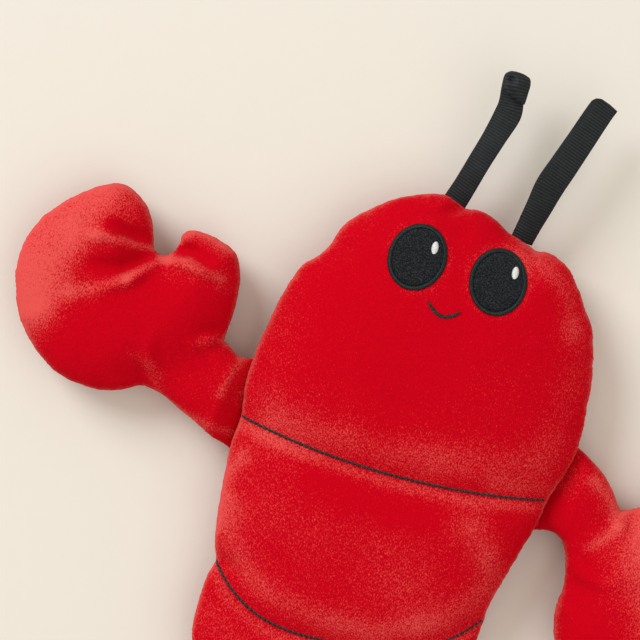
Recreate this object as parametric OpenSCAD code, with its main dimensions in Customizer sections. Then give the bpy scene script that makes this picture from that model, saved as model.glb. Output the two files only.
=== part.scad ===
// Stuffed plush lobster, lying flat with its face up.
// Units are millimetres. The table is z = 0, +Y runs to the head and +X to the toy's right edge as seen from above.
// Each compartment is a front panel and a back panel, sewn together round one seam, with a filling between them.

/* [Body] */
// Widest part of the head and chest
carapace_w = 195; // [175:1:210]
// Distance from the origin to the top of the head
head_top = 83; // [78:1:88]
// Height of the chest above its side seam
carapace_rise = 32; // [24:1:34]
// Height of the first tail segment above its side seam
abdomen_1_rise = 26; // [20:1:28]
// Height of the second tail segment above its side seam
abdomen_2_rise = 22; // [16:1:24]
// Height of the tail fan above its side seam
fan_rise = 13; // [10:1:15]

/* [Arms and claws] */
// Height of the arms and claws' side seam above the table
limb_seam = 20; // [16:1:22]
// Height of a claw above its side seam
claw_rise = 22; // [18:1:24]
// Height of an arm above its side seam
arm_rise = 13; // [10:1:15]
// Direction of the left claw's wrist line, from +X
left_wrist_angle = 47.7; // [44:0.1:50]
// Direction of the right claw's wrist line, from +X
right_wrist_angle = -109.7; // [-112:0.1:-106]

/* [Face] */
// Width of an eye over its stitched border
eye_w = 33.6; // [30:0.2:35]
// Height of an eye over its stitched border
eye_h = 39.4; // [36:0.2:41]
// Half the distance between the eyes' centres
eye_x = 24.5; // [22:0.5:27]
// Distance from the origin to the line of the eyes
eye_y = 44.7; // [42:0.1:47]
// Width of the satin stitch round an eye
border_w = 2.8; // [2:0.1:3.4]
// Half the width of the smile
mouth_half = 9.4; // [8:0.1:11]

/* [Cloth] */
// Thickness of the plush with its pile
plush_t = 2; // [1.5:0.1:3]
// Thickness of the felt of the eyes
felt_t = 1.2; // [0.8:0.1:1.6]
// Thickness of a line of topstitching
thread_t = 0.9; // [0.6:0.1:1.2]
// Width of a line of topstitching
thread_w = 1.8; // [1.4:0.1:2.2]
// Width of an antenna's ribbon
ribbon_w = 16; // [14:0.5:18]
// Thickness of an antenna's ribbon
ribbon_t = 0.9; // [0.7:0.1:1.2]

/* [Hidden] */

// Colours
plush_red = [0.80, 0.02, 0.07];
filling_white = [0.93, 0.92, 0.90];
felt_black = [0.15, 0.16, 0.17];
thread_black = [0.08, 0.16, 0.16];
thread_white = [0.95, 0.95, 0.94];
ribbon_black = [0.12, 0.13, 0.15];

// Which side of its seam a panel is on
FRONT = true;
BACK = false;

// Gap that keeps two compartments' seams apart where they fold against each other
fold_gap = 1.2;
// Gap that keeps the trim just off the plush
trim_gap = 0.3;
// How far in from its seam each compartment reaches its full height
carapace_reach = 44;
abdomen_1_reach = 36;
abdomen_2_reach = 31;
fan_reach = 22;
claw_reach = 30;
arm_reach = 16;

// Rings of points between a panel's seam (1) and its centre (0)
RINGS = [1, 0.94, 0.84, 0.66, 0.36];
// Points along each line across the body
LINE_STEPS = 8;

// The seam's height along the body, from the fan's tip to the head
body_seam = [[-320, 10], [-246, 17], [-182, 21], [-80, 23], [83, 24]];
// The seam's height on an arm or a claw, the same all over
flat_seam = [[-1, limb_seam], [1, limb_seam]];

// The three lines across the body: middle, half width, sag towards the tail and slant
line_mid = [-79.5, -182.5, -246];
line_half = [91, 78.5, 62];
line_sag = [9, 31, 16];
line_slant = [3.2, 6.5, 4];

// The right side of each outline, from the line below it up; the left side mirrors it
head_side = [[94.5, -50], [97, -32], [96, -12], [93, 6], [88, 21], [80, 37], [69, 53], [56, 66], [38, 75], [18, 81]];
fan_side = [[78, -243], [90, -258], [90, -278], [76, -293], [54, -293], [38, -286], [32, -302], [17, -314]];
fan_tip = [0, -318];
// How far the sides of the tail segments bulge past a straight line
side_bulge = 3.5;

// The left claw's outline from its wrist line, which runs along X through the origin
claw_outline = [
    [27, 0], [38, 8], [51, 24], [57, 39], [52, 54], [43, 64], [34, 65], [28, 60], [21, 60], [17, 64],
    [22, 80], [24, 95], [19, 108], [5, 114], [-12, 116], [-30, 114], [-46, 107], [-62, 88],
    [-70, 64], [-68, 35], [-54, 15], [-40, 5], [-27, 0], [0, 0]
];
claw_centre = [-2, 24];
// Half the wrist's width, and each wrist's middle on the table plan
wrist_half = 27;
left_wrist = [-133, -57.5];
right_wrist = [125.5, -82.4];
// Where each arm is sewn on, measured from its own wrist, and the radius of that end
left_shoulder = [15.3, -29.4];
right_shoulder = [7.2, -28.6];
shoulder_r = 4;

// Eyes lean inwards at the top by this angle; their felt meets the border here
eye_lean = 5.5;
eye_steps = 24;
EYE_RINGS = [1, 0.55];
felt_inset = border_w - 0.1;
// The highlight's place from the eye's centre, and its size
highlight_at = [7.8, 8];
highlight_w = 4.2;
highlight_h = 7.3;
highlight_steps = 12;
highlight_t = 0.7;

// The smile's lowest point and how far its ends rise
mouth_y = 16.5;
mouth_rise = 5.5;
mouth_steps = 10;

// Where the topstitching runs above its line
stitch_shift = 4;

// Middle lines of the two antennae, from the head's seam to the tip
left_antenna = [[-13.4, 84.5, 24.5], [-12, 97, 29], [-9.5, 117, 33], [-7, 137, 34], [-5.4, 150, 33]];
right_antenna = [[31.4, 79.2, 24.5], [31.6, 94, 28], [32.8, 112, 32], [38, 132, 34], [44.5, 151, 33], [48.9, 163, 31]];
// The knot at the left antenna's tip
knot_at = [-4.4, 155, 33];
knot_r = 5.5;
knot_t = 6;

// ---- Outlines ----

// A point on line k, with t from -1 at its left end to 1 at its right end
function line_point(k, t, shift = 0) =
    let (x = t * line_half[k])
    [x, line_mid[k] + line_sag[k] * t * t + x * tan(line_slant[k]) + shift];

// Line k from left to right, moved along Y by shift
function line_points(k, shift = 0) = [for (i = [0 : LINE_STEPS]) line_point(k, 2 * i / LINE_STEPS - 1, shift)];

function backwards(points) = [for (i = [len(points) - 1 : -1 : 0]) points[i]];
function mirrored(points) = [for (p = points) [-p.x, p.y]];

// One side of a tail segment between the ends of line k and line k + 1; side is 1 on the right
function segment_side(k, side) = [
    for (t = [0.25, 0.5, 0.75])
        line_point(k + 1, side) * (1 - t) + line_point(k, side) * t + [side * side_bulge * sin(180 * t), 0]
];

carapace_fit = carapace_w / 195;
right_head = [for (p = head_side) [p.x * carapace_fit, p.y]];
carapace_outline = concat(right_head, [[0, head_top]], backwards(mirrored(right_head)), line_points(0));
abdomen_1_outline = concat(
    segment_side(0, 1), backwards(line_points(0, -fold_gap)), backwards(segment_side(0, -1)), line_points(1));
abdomen_2_outline = concat(
    segment_side(1, 1), backwards(line_points(1, -fold_gap)), backwards(segment_side(1, -1)), line_points(2));
fan_outline = concat(
    backwards(line_points(2, -fold_gap)), mirrored(fan_side), [fan_tip], backwards(fan_side));

// An arm from its wrist line to its shoulder
function arm_outline(shoulder) = concat(
    [[wrist_half, -fold_gap], [0, -fold_gap], [-wrist_half, -fold_gap]],
    [[(shoulder.x - wrist_half) / 2 - 3, shoulder.y / 2 - 4]],
    [for (a = [-135 : 45 : 0]) shoulder + shoulder_r * [cos(a), sin(a)]],
    [[(shoulder.x + wrist_half) / 2 + 3, shoulder.y / 2]]);

// ---- Panels ----

// Distance from p to the line from a to b
function line_distance(p, a, b) =
    let (t = (p - a) * (b - a) / ((b - a) * (b - a)))
    norm(p - a - max(0, min(1, t)) * (b - a));

function edge_distance(p, outline) =
    min([for (i = [0 : len(outline) - 1]) line_distance(p, outline[i], outline[(i + 1) % len(outline)])]);

// How full the pillow is at a distance from its seam, from 0 at the seam to 1
function fullness(distance, reach) = sin(90 * min(1, distance / reach));

// Height of a panel: the front rises from the seam, and the back drops from it to the table
function panel_z(p, full, seam, rise, t, side) =
    let (s = lookup(p.y, seam))
    side == FRONT ? s + (rise - t) * full : s - (s - t) * full;

// The points of one face of a panel, ring by ring; t is 0 outside and the cloth's thickness inside
function face_points(outline, centre, seam, rise, reach, t, side) = [
    for (ring = RINGS)
        for (p = outline)
            let (
                full = fullness(edge_distance(centre + ring * (p - centre), outline), reach),
                q = centre + ring * (p - centre) * (1 - t / norm(p - centre))
            )
            [q.x, q.y, panel_z(q, full, seam, rise, t, side)],
    [centre.x, centre.y, panel_z(centre, fullness(edge_distance(centre, outline), reach), seam, rise, t, side)]
];

function turned(face, flip) = flip ? [face[0], face[2], face[1]] : face;

// Triangles over one face: the seam's ring starts at edge and the other rings at rest
function face_triangles(n, edge, rest, flip) =
    let (
        m = len(RINGS),
        at = function (ring, i) ring == 0 ? edge + i % n : rest + (ring - 1) * n + i % n
    )
    concat(
        [
            for (ring = [0 : m - 2])
                for (i = [0 : n - 1])
                    each [
                        turned([at(ring, i), at(ring, i + 1), at(ring + 1, i + 1)], flip),
                        turned([at(ring, i), at(ring + 1, i + 1), at(ring + 1, i)], flip)
                    ]
        ],
        [for (i = [0 : n - 1]) turned([at(m - 1, i), at(m - 1, i + 1), rest + (m - 1) * n], flip)]);

// Triangles between two rings of n points
function rim_triangles(n, outer, inner, flip) = [
    for (i = [0 : n - 1])
        each [
            turned([outer + i, outer + (i + 1) % n, inner + (i + 1) % n], flip),
            turned([outer + i, inner + (i + 1) % n, inner + i], flip)
        ]
];

// One sewn panel of plush, on the front or the back of its seam
module panel(outline, centre, seam, rise, reach, side) {
    n = len(outline);
    inner = n * len(RINGS) + 1;
    polyhedron(
        points = concat(
            face_points(outline, centre, seam, rise, reach, 0, side),
            face_points(outline, centre, seam, rise, reach, plush_t, side)),
        faces = concat(
            face_triangles(n, 0, n, side == FRONT),
            face_triangles(n, inner, inner + n, side == BACK),
            rim_triangles(n, 0, inner, side == BACK)),
        convexity = 6);
}

// The fibre between two panels, which fills them to their inner faces
module filling(outline, centre, seam, rise, reach) {
    n = len(outline);
    front = face_points(outline, centre, seam, rise, reach, plush_t, FRONT);
    back = face_points(outline, centre, seam, rise, reach, plush_t, BACK);
    polyhedron(
        points = concat(front, [for (i = [n : len(back) - 1]) back[i]]),
        faces = concat(face_triangles(n, 0, n, true), face_triangles(n, 0, len(front), false)),
        convexity = 6);
}

// ---- Body ----

carapace_centre = [0, 0];
abdomen_1_centre = [0, -126];
abdomen_2_centre = [0, -213];
fan_centre = [0, -264];

module carapace_panel(side) {
    color(plush_red)
        panel(carapace_outline, carapace_centre, body_seam, carapace_rise, carapace_reach, side);
}

module abdomen_1_panel(side) {
    color(plush_red)
        panel(abdomen_1_outline, abdomen_1_centre, body_seam, abdomen_1_rise, abdomen_1_reach, side);
}

module abdomen_2_panel(side) {
    color(plush_red)
        panel(abdomen_2_outline, abdomen_2_centre, body_seam, abdomen_2_rise, abdomen_2_reach, side);
}

module tail_fan_panel(side) {
    color(plush_red) panel(fan_outline, fan_centre, body_seam, fan_rise, fan_reach, side);
}

module carapace_filling() {
    color(filling_white) filling(carapace_outline, carapace_centre, body_seam, carapace_rise, carapace_reach);
}

module abdomen_1_filling() {
    color(filling_white)
        filling(abdomen_1_outline, abdomen_1_centre, body_seam, abdomen_1_rise, abdomen_1_reach);
}

module abdomen_2_filling() {
    color(filling_white)
        filling(abdomen_2_outline, abdomen_2_centre, body_seam, abdomen_2_rise, abdomen_2_reach);
}

module tail_fan_filling() {
    color(filling_white) filling(fan_outline, fan_centre, body_seam, fan_rise, fan_reach);
}

// ---- Arms and claws ----

// Puts a limb drawn from its wrist line in its place; the right one is the mirror of the left
module at_left_wrist() {
    translate([left_wrist.x, left_wrist.y, 0]) rotate([0, 0, left_wrist_angle]) children();
}

module at_right_wrist() {
    translate([right_wrist.x, right_wrist.y, 0]) rotate([0, 0, right_wrist_angle]) mirror([1, 0, 0]) children();
}

module claw_panel(side) {
    color(plush_red) panel(claw_outline, claw_centre, flat_seam, claw_rise, claw_reach, side);
}

module claw_filling() {
    color(filling_white) filling(claw_outline, claw_centre, flat_seam, claw_rise, claw_reach);
}

// The arm's panels fan out from a point between its shoulder and its wrist line
function arm_centre(shoulder) = [shoulder.x / 4, shoulder.y * 0.36];

module arm_panel(shoulder, side) {
    color(plush_red)
        panel(arm_outline(shoulder), arm_centre(shoulder), flat_seam, arm_rise, arm_reach, side);
}

module arm_filling(shoulder) {
    color(filling_white)
        filling(arm_outline(shoulder), arm_centre(shoulder), flat_seam, arm_rise, arm_reach);
}

// ---- Face and trim ----

// A point that lies on the carapace's front, lifted off it
function on_carapace(p, lift) =
    let (full = fullness(edge_distance(p, carapace_outline), carapace_reach))
    [p.x, p.y, panel_z(p, full, body_seam, carapace_rise, 0, FRONT) + lift];

// An oval's ring of points round the centre of an eye on the side given, 1 on the right
function eye_oval(side, at, half_w, half_h, steps) = [
    for (i = [0 : steps - 1])
        let (
            a = 360 * i / steps,
            p = [side * at.x + half_w * cos(a), at.y + half_h * sin(a)],
            lean = side * eye_lean
        )
        [
            side * eye_x + p.x * cos(lean) - p.y * sin(lean),
            eye_y + p.x * sin(lean) + p.y * cos(lean)
        ]
];

function lying(points, lift) = [for (p = points) on_carapace(p, lift)];

// A thin oval plate that follows the carapace: its lower face, then its upper face
module oval_plate(side, at, half_w, half_h, steps, low, high) {
    middle = eye_oval(side, at, 0, 0, 1)[0];
    function face(lift) = concat(
        [for (r = EYE_RINGS) each lying(eye_oval(side, at, r * half_w, r * half_h, steps), lift)],
        [on_carapace(middle, lift)]);
    upper = len(EYE_RINGS) * steps + 1;
    function cap(first, flip) = concat(
        rim_triangles(steps, first, first + steps, flip),
        [for (i = [0 : steps - 1])
            turned([first + steps + i, first + steps + (i + 1) % steps, first + upper - 1], flip)]);
    polyhedron(
        points = concat(face(low), face(high)),
        faces = concat(cap(0, false), cap(upper, true), rim_triangles(steps, 0, upper, true)),
        convexity = 4);
}

module eye_patch(side) {
    color(felt_black)
        oval_plate(side, [0, 0], eye_w / 2 - felt_inset - trim_gap, eye_h / 2 - felt_inset - trim_gap,
            eye_steps, trim_gap, trim_gap + felt_t);
}

module eye_border(side) {
    outer = eye_oval(side, [0, 0], eye_w / 2, eye_h / 2, eye_steps);
    inner = eye_oval(side, [0, 0], eye_w / 2 - border_w, eye_h / 2 - border_w, eye_steps);
    low = trim_gap;
    high = trim_gap + felt_t + thread_t / 2;
    n = eye_steps;
    color(thread_black)
        polyhedron(
            points = concat(lying(outer, low), lying(inner, low), lying(outer, high), lying(inner, high)),
            faces = concat(
                rim_triangles(n, 0, n, false),
                rim_triangles(n, 2 * n, 3 * n, true),
                rim_triangles(n, 0, 2 * n, true),
                rim_triangles(n, n, 3 * n, false)),
            convexity = 4);
}

module eye_highlight(side) {
    low = 2 * trim_gap + felt_t;
    color(thread_white)
        oval_plate(side, [side * highlight_at.x, highlight_at.y], highlight_w / 2, highlight_h / 2,
            highlight_steps, low, low + highlight_t);
}

// A flat strap that follows a line of points, width across it in plan
module strap(path, width, t) {
    last = len(path) - 1;
    function across(i) =
        let (d = path[min(i + 1, last)] - path[max(i - 1, 0)], flat = norm([d.x, d.y]))
        [-d.y / flat, d.x / flat, 0];
    points = [
        for (i = [0 : last])
            each [
                path[i] - across(i) * width / 2,
                path[i] + across(i) * width / 2,
                path[i] + across(i) * width / 2 + [0, 0, t],
                path[i] - across(i) * width / 2 + [0, 0, t]
            ]
    ];
    sides = [
        for (i = [0 : last - 1])
            for (k = [0 : 3])
                each [
                    [4 * i + k, 4 * i + 4 + (k + 1) % 4, 4 * i + (k + 1) % 4],
                    [4 * i + k, 4 * i + 4 + k, 4 * i + 4 + (k + 1) % 4]
                ]
    ];
    ends = [[0, 1, 2], [0, 2, 3], [4 * last + 2, 4 * last + 1, 4 * last], [4 * last + 3, 4 * last + 2, 4 * last]];
    polyhedron(points = points, faces = concat(sides, ends), convexity = 4);
}

module mouth_stitching() {
    smile = [for (i = [0 : mouth_steps]) let (t = 2 * i / mouth_steps - 1) [t * mouth_half, mouth_y + mouth_rise * t * t]];
    color(thread_black) strap(lying(smile, trim_gap), thread_w, thread_t);
}

// The height of a front panel at a point of its outline's plan
function front_z(p, outline, rise, reach) =
    panel_z(p, fullness(edge_distance(p, outline), reach), body_seam, rise, 0, FRONT);

// The black topstitching just above line k, on the segment that ends there
module topstitch(k, outline, rise, reach) {
    trim = 0.94;
    stitches = [
        for (p = [for (t = [-1 : 0.1 : 1]) line_point(k, t * trim, stitch_shift)])
            [p.x, p.y, front_z(p + [0, thread_w], outline, rise, reach) + trim_gap]
    ];
    color(thread_black) strap(stitches, thread_w, thread_t);
}

module antenna_left_ribbon() {
    color(ribbon_black) {
        strap(left_antenna, ribbon_w * 0.85, ribbon_t);
        hull()
            for (dx = [-1, 1], dy = [-1, 1])
                translate(knot_at + [dx * knot_r / 2, dy * knot_r / 2, -knot_t / 2])
                    cylinder(h = knot_t, r = knot_r / 2, $fn = 12);
    }
}

module antenna_right_ribbon() {
    color(ribbon_black) strap(right_antenna, ribbon_w, ribbon_t);
}

carapace_panel(FRONT);  // carapace_front_panel
carapace_panel(BACK);  // carapace_back_panel
carapace_filling();
abdomen_1_panel(FRONT);  // abdomen_1_front_panel
abdomen_1_panel(BACK);  // abdomen_1_back_panel
abdomen_1_filling();
abdomen_2_panel(FRONT);  // abdomen_2_front_panel
abdomen_2_panel(BACK);  // abdomen_2_back_panel
abdomen_2_filling();
tail_fan_panel(FRONT);  // tail_fan_front_panel
tail_fan_panel(BACK);  // tail_fan_back_panel
tail_fan_filling();
at_left_wrist() arm_panel(left_shoulder, FRONT);  // arm_left_front_panel
at_left_wrist() arm_panel(left_shoulder, BACK);  // arm_left_back_panel
at_left_wrist() arm_filling(left_shoulder);  // arm_left_filling
at_right_wrist() arm_panel(right_shoulder, FRONT);  // arm_right_front_panel
at_right_wrist() arm_panel(right_shoulder, BACK);  // arm_right_back_panel
at_right_wrist() arm_filling(right_shoulder);  // arm_right_filling
at_left_wrist() claw_panel(FRONT);  // claw_left_front_panel
at_left_wrist() claw_panel(BACK);  // claw_left_back_panel
at_left_wrist() claw_filling();  // claw_left_filling
at_right_wrist() claw_panel(FRONT);  // claw_right_front_panel
at_right_wrist() claw_panel(BACK);  // claw_right_back_panel
at_right_wrist() claw_filling();  // claw_right_filling
eye_patch(-1);  // eye_left_patch
eye_border(-1);  // eye_left_border
eye_highlight(-1);  // eye_left_highlight
eye_patch(1);  // eye_right_patch
eye_border(1);  // eye_right_border
eye_highlight(1);  // eye_right_highlight
mouth_stitching();
topstitch(0, carapace_outline, carapace_rise, carapace_reach);  // topstitch_1
topstitch(1, abdomen_1_outline, abdomen_1_rise, abdomen_1_reach);  // topstitch_2
topstitch(2, abdomen_2_outline, abdomen_2_rise, abdomen_2_reach);  // topstitch_3
antenna_left_ribbon();
antenna_right_ribbon();
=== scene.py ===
"""The looks of a stuffed plush lobster toy.

Shapes are worked out in millimetres in the CAD model's frame: the table is z = 0 and +Y runs to the head.
Each mesh is made in metres. A stuffed piece is a front and a back skin over one outline, sewn at its
side seam.
"""

import math

import bpy
import numpy as np
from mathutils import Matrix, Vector, noise
from mathutils.bvhtree import BVHTree
from mathutils.geometry import delaunay_2d_cdt


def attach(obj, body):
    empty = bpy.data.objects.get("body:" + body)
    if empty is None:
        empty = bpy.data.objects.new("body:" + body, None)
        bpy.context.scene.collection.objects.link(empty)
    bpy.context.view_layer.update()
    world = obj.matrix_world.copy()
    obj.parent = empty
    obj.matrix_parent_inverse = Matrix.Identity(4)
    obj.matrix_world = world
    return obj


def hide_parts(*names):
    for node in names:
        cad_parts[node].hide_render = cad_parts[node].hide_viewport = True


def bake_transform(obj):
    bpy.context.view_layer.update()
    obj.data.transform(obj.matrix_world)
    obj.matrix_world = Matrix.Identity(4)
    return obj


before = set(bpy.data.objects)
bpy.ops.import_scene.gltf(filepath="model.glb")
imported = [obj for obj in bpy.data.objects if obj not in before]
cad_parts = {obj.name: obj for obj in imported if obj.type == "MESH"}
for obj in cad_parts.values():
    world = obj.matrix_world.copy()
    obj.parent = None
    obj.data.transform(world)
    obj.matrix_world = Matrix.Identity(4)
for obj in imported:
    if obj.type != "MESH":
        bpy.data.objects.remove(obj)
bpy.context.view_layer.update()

MM = 0.001
# noise_vector draws a new offset in every run, unless it has a seed
NOISE_SEED = 7
noise.seed_set(NOISE_SEED)

# ---- The toy's plan, in millimetres ----

# The three sewn lines across the body. Each rises from its middle to its ends by its sag, and slants by
# a number of degrees
LINES = [
    {"mid": -80.3, "half": 93.0, "sag": 9.4, "power": 2, "slant": 3.2},
    {"mid": -182.5, "half": 80.0, "sag": 32.0, "power": 3, "slant": 6.5},
    {"mid": -246.0, "half": 62.0, "sag": 16.0, "power": 2, "slant": 4.0},
]

# The head's seam, anticlockwise, between the ends of line 0
HEAD_SEAM = [
    (98, -48), (100.3, -30), (98, -8), (94.3, 14), (86.5, 36), (78.5, 47), (70.5, 57.5), (62, 66.5),
    (52.5, 71), (45.5, 72), (39.5, 71), (33, 73), (22.5, 75.5), (15.5, 78.8), (9, 81.5), (1, 82.6),
    (-7.5, 81.2), (-14, 83.6), (-20, 84.8), (-28, 83.4), (-38, 79), (-49.5, 72.3), (-61, 62.3),
    (-71.3, 51), (-74.6, 42), (-76.2, 35), (-80.3, 27.8), (-87.6, 18.8), (-92.8, 2), (-96.2, -22),
    (-97.6, -42), (-96.8, -60),
]
# Between the sewn lines' ends: the right sides upward and the left sides downward
RIGHT_SEAMS = [
    [(80.5, -134), (83.2, -121), (87, -102), (92, -80)],
    [(69, -211), (76, -190), (80, -160)],
]
LEFT_SEAMS = [
    [(-94, -92), (-91.5, -114), (-88.6, -133), (-85.6, -147), (-83, -155)],
    [(-82.8, -170), (-82.5, -190), (-80.5, -205), (-72, -223)],
]
# The tail fan's seam, anticlockwise, between the ends of line 2
FAN_SEAM = [
    (-78, -244), (-90, -258), (-91, -276), (-76, -292), (-54, -293), (-38, -286), (-32, -302), (-17, -314),
    (0, -318), (17, -314), (32, -302), (38, -286), (54, -293), (76, -292), (91, -276), (90, -258), (78, -243),
]

# The seam's height, and the stuffing's height above it, along the body
SEAM_HEIGHT = [(-320, 10), (-246, 17), (-182, 21), (-80, 23), (83, 24)]
BODY_RISE = [(-318, 11), (-285, 13), (-246, 16), (-213, 22), (-130, 26.5), (-20, 32), (40, 32), (83, 29)]
BODY_REACH = [(-318, 30), (-262, 34), (-246, 50), (-213, 66), (-130, 80), (-20, 88), (83, 88)]

# A valley runs along each sewn line: its depth, and its width towards the head and towards the tail
VALLEY_DEPTHS = [8.0, 8.5, 7.0]
VALLEY_UP = 12.0
VALLEY_DOWN = 17.0

# A claw in its own plan: its wrist line runs along X through the origin and it points along +Y
CLAW_SEAM = [
    (37, 8), (51.5, 23.5), (58.7, 40), (53, 55), (43, 66.5), (35.5, 67.5), (30, 63), (25, 61.3), (20.5, 61.8),
    (18.3, 66), (21, 72), (25.8, 82), (26.4, 96), (20.5, 110), (5, 116), (-18, 117.6), (-37, 114),
    (-53.5, 103.5), (-65, 88), (-73, 63.5), (-70, 34.5), (-57.5, 15.5), (-43, 4.5),
]
WRIST_HALF = 27.4
# The stuffing's height above the seam, and how far in from the seam it gets there
CLAW_RISE = 22.0
CLAW_REACH = 42.0
ARM_RISE = 13.0
ARM_REACH = 24.0
LIMB_SEAM_HEIGHT = 20.0

# Each limb: its wrist's middle, the wrist line's direction, and its arm's two edges from body to wrist
LIMBS = {
    "left": {
        "wrist": (-133.0, -57.5),
        "turn": 47.7,
        "mirror": False,
        "inner": [(-86, -36), (-96.5, -40.5), (-104.5, -42), (-110.8, -38.2)],
        "outer": [(-80, -97), (-90.4, -97.5), (-105, -94), (-116, -89.5), (-127, -85.2), (-139, -80.5)],
    },
    "right": {
        "wrist": (125.5, -82.4),
        "turn": -109.7,
        "mirror": True,
        "inner": [(88, -28), (99, -29.2), (108.3, -33.3), (118, -38.8), (126.5, -46.3)],
        "outer": [(82, -90), (95, -84.5), (104, -84.3), (109.5, -90.3), (113.3, -99.7)],
    },
}

# The distance between neighbouring points of a skin, before it is subdivided
SPACING = 3.0

# The face: each eye leans in at its top by some degrees
EYES = [(-25.3, 43.4), (22.9, 44.6)]
EYE_HALF = (16.8, 19.7)
EYE_BORDER = 2.8
EYE_LEAN = 5.5
HIGHLIGHT_AT = (7.8, 8.0)
HIGHLIGHT_HALF = (1.75, 3.5)
MOUTH_HALF = 9.4
MOUTH_MIDDLE = -1.8
MOUTH_LEVEL = 15.6
MOUTH_RISE = 5.5

# The long stitches on the sewn lines
STITCH_PITCH = 3.2
STITCH_RADIUS = 0.9

# The antennae's ribbon
RIBBON_STEP = 0.35
RIBBON_HALF_THICK = 0.4
RIB_PITCH = 1.7


# ---- Curves and distances ----


def through(points, steps=8):
    """A smooth curve through the points (Catmull-Rom)."""
    p = np.array(points, float)
    ends = np.vstack([2 * p[0] - p[1], p, 2 * p[-1] - p[-2]])
    before, a, b, after = ends[:-3], p[:-1], p[1:], ends[3:]
    t = np.linspace(0, 1, steps, endpoint=False)[None, :, None]
    before, a, b, after = (q[:, None, :] for q in (before, a, b, after))
    curve = 0.5 * (
        2 * a
        + (b - before) * t
        + (2 * before - 5 * a + 4 * b - after) * t**2
        + (3 * a - before - 3 * b + after) * t**3
    )
    return np.vstack([curve.reshape(-1, p.shape[1]), p[-1]])


def lengths(curve):
    """How far along an open curve each of its points lies."""
    return np.concatenate([[0], np.cumsum(np.linalg.norm(np.diff(curve, axis=0), axis=1))])


def even(curve, spacing):
    """An open curve's points moved to an even spacing, with its ends kept."""
    s = lengths(curve)
    count = max(2, int(round(s[-1] / spacing)) + 1)
    at = np.linspace(0, s[-1], count)
    return np.stack([np.interp(at, s, curve[:, k]) for k in range(curve.shape[1])], 1)


def from_curve(points, curve):
    """Each point's distance to an open curve, and how far along the curve its nearest place is."""
    a, b = curve[:-1], curve[1:]
    d = b - a
    long = np.maximum((d * d).sum(1), 1e-12)
    starts = lengths(curve)[:-1]
    best = np.full(len(points), np.inf)
    along = np.zeros(len(points))
    for first in range(0, len(points), 2000):
        p = points[first : first + 2000, None, :]
        t = np.clip(((p - a) * d).sum(2) / long, 0, 1)
        gap = np.linalg.norm(p - a - t[..., None] * d, axis=2)
        k = gap.argmin(1)
        rows = np.arange(len(k))
        best[first : first + 2000] = gap[rows, k]
        along[first : first + 2000] = starts[k] + t[rows, k] * np.sqrt(long[k])
    return best, along


def table(pairs, y):
    """A value looked up along y in a list of (y, value) pairs."""
    pairs = np.array(pairs, float)
    return np.interp(y, pairs[:, 0], pairs[:, 1])


def ripple(s, period, seed):
    """A smooth random wave along a length, about -1 to 1."""
    return np.array([noise.noise(Vector((x / period, seed * 7.3, 0.5))) for x in s]) * 1.8


# ---- Outlines ----


def line_y(k, x):
    """How far up the body line k lies at x."""
    line = LINES[k]
    bow = line["sag"] * abs(x / line["half"]) ** line["power"]
    return line["mid"] + bow + x * math.tan(math.radians(line["slant"]))


def line_end(k, end):
    """Line k's left end (-1) or right end (1)."""
    x = end * LINES[k]["half"]
    return (x, line_y(k, x))


def line_curve(k):
    """Line k from left to right."""
    x = np.linspace(-LINES[k]["half"], LINES[k]["half"], 81)
    return np.stack([x, line_y(k, x)], 1)


def side_seam(k, right):
    """A segment's side seam between the ends of line k and line k + 1, anticlockwise."""
    if right:
        return through([line_end(k + 1, 1), *RIGHT_SEAMS[k], line_end(k, 1)])
    return through([line_end(k, -1), *LEFT_SEAMS[k], line_end(k + 1, -1)])


head_seam = through([line_end(0, 1), *HEAD_SEAM, line_end(0, -1)])
fan_seam = through([line_end(2, -1), *FAN_SEAM, line_end(2, 1)])
left_seams = [side_seam(0, False), side_seam(1, False)]
right_seams = [side_seam(1, True), side_seam(0, True)]
body_seam = np.vstack([head_seam, *left_seams, fan_seam, *right_seams])


def to_claw(points, limb):
    """Points of the body's plan in a claw's own plan."""
    turn = math.radians(limb["turn"])
    rel = np.asarray(points, float) - limb["wrist"]
    x = rel @ [math.cos(turn), math.sin(turn)]
    y = rel @ [-math.sin(turn), math.cos(turn)]
    return np.stack([-x if limb["mirror"] else x, y], 1)


def from_claw(points, limb):
    """Points of a claw's own plan in the body's plan."""
    turn = math.radians(limb["turn"])
    p = np.array(points, float)
    x = -p[:, 0] if limb["mirror"] else p[:, 0]
    return np.stack(
        [
            limb["wrist"][0] + x * math.cos(turn) - p[:, 1] * math.sin(turn),
            limb["wrist"][1] + x * math.sin(turn) + p[:, 1] * math.cos(turn),
        ],
        1,
    )


# ---- Stuffed pieces ----


def plump(distance, reach):
    """How full a stuffed piece is at a distance from its seam: steep at the seam and level at its reach."""
    t = np.clip(distance / reach, 0, 1)
    return np.sqrt(1 - (1 - t) ** 2.3)


class Fold:
    """A ridge (height above 0) or a valley along a curve in plan, which fades out at its ends."""

    def __init__(self, points, width, height, fade=0.25):
        self.curve = through(points)
        self.width = width
        self.height = height
        self.fade = fade

    def lift(self, p):
        """How far the fold raises each point of the plan."""
        distance, along = from_curve(p, self.curve)
        t = along / lengths(self.curve)[-1]
        ends = np.clip(np.minimum(t + 0.15, 1.0 - t) / self.fade, 0, 1)
        return self.height * np.exp(-((distance / self.width) ** 2)) * ends


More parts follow.
